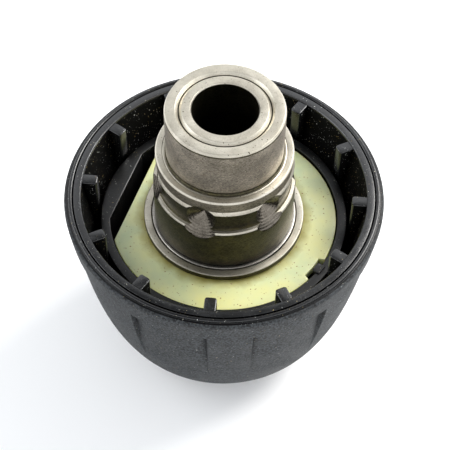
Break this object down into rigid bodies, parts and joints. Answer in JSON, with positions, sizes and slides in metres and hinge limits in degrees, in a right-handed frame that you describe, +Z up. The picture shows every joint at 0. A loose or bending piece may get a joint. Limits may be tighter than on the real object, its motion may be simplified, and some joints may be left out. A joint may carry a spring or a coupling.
{
  "type": "drill chuck",
  "caption": "Quick-change drill chuck for grooved hammer-drill shanks: steel spigot with locking dimples, ball lock, and a sprung ribbed plastic pull-back sleeve.",
  "frame": {"origin": "on the axis at the front face of the dust cap, on which the chuck stands", "axes": "+Z up the axis from the nose to the rear end of the spigot, +X right and +Y away from the viewer of the front view"},
  "size_m": [0.0508, 0.0508, 0.0553],
  "materials": {
    "ground_steel": "turned and ground, lightly oiled",
    "oiled_steel": "pressed, dark with oil",
    "spring_steel": "drawn and tempered",
    "hardened_steel": "hardened and ground",
    "natural_nylon": "moulded, waxy, unpigmented",
    "hard_black": "moulded, satin",
    "soft_black": "fine spark-eroded grip texture",
    "black_rubber": "moulded, matt"
  },
  "bodies": {
    "receiver": {"receiver_tube": "ground_steel", "guide_bush": "ground_steel", "bore_seal": "black_rubber", "dust_cap": "black_rubber", "front_snap_ring": "spring_steel", "front_washer": "oiled_steel", "lock_spring": "spring_steel", "spring_seat": "oiled_steel", "rear_collar": "oiled_steel", "rear_snap_ring": "spring_steel"},
    "disc": {"rear_disc": "natural_nylon"},
    "sleeve": {"inner_slider": "hard_black", "lock_ring": "hardened_steel", "lock_ring_clip": "spring_steel", "grip_core": "hard_black", "grip_snap_ring": "spring_steel", "grip_cover": "soft_black"},
    "plate": {"holding_plate": "hardened_steel"},
    "ball_right": {"locking_ball_right": "hardened_steel"},
    "ball_left": {"locking_ball_left": "hardened_steel"}
  },
  "joints": [
    {"name": "sleeve_turn", "type": "hinge", "parent": "receiver", "child": "disc", "pos_m": [0, 0, 0.0282], "axis": [0, 0, 1], "continuous": true},
    {"name": "sleeve_pull", "type": "slide", "parent": "disc", "child": "sleeve", "axis": [0, 0, 1], "range_m": [0, 0.006], "stiffness_N_per_m": 3000, "springref_m": -0.006},
    {"name": "plate_slide", "type": "slide", "parent": "receiver", "child": "plate", "axis": [0, 0, 1], "range_m": [0, 0.006], "deforming": ["lock_spring"]},
    {"name": "ball_right_lift", "type": "slide", "parent": "receiver", "child": "ball_right", "axis": [1, 0, 0], "range_m": [0, 0.0015]},
    {"name": "ball_left_lift", "type": "slide", "parent": "receiver", "child": "ball_left", "axis": [-1, 0, 0], "range_m": [0, 0.0015]}
  ],
  "couplings": [
    {"joint": "plate_slide", "follows": "sleeve_pull", "ratio": 1},
    {"joint": "ball_right_lift", "follows": "sleeve_pull", "ratio": 0.25},
    {"joint": "ball_left_lift", "follows": "sleeve_pull", "ratio": 0.25}
  ]
}
